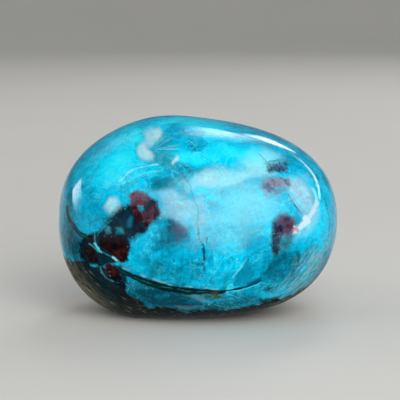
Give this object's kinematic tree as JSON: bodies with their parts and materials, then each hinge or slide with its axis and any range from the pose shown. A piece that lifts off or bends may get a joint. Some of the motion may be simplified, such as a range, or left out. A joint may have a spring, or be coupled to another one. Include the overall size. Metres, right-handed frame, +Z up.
{
  "type": "chrysocolla specimen",
  "caption": "Tumbled and polished chrysocolla pebble: a rounded cyan stone with red-brown patches that rests on a small worn flat.",
  "frame": {"origin": "on the resting face, under the middle of the stone's length and depth", "axes": "+X along the stone's length, +Z up from the resting face, -Y towards its best-marked side"},
  "size_m": [0.0378, 0.0296, 0.0267],
  "materials": {
    "polished_chrysocolla": "polished to a glassy gloss, cyan to teal with milky clouds, red-brown cuprite patches and dark healed cracks"
  },
  "bodies": {
    "root": {"chrysocolla_stone": "polished_chrysocolla"}
  },
  "joints": []
}
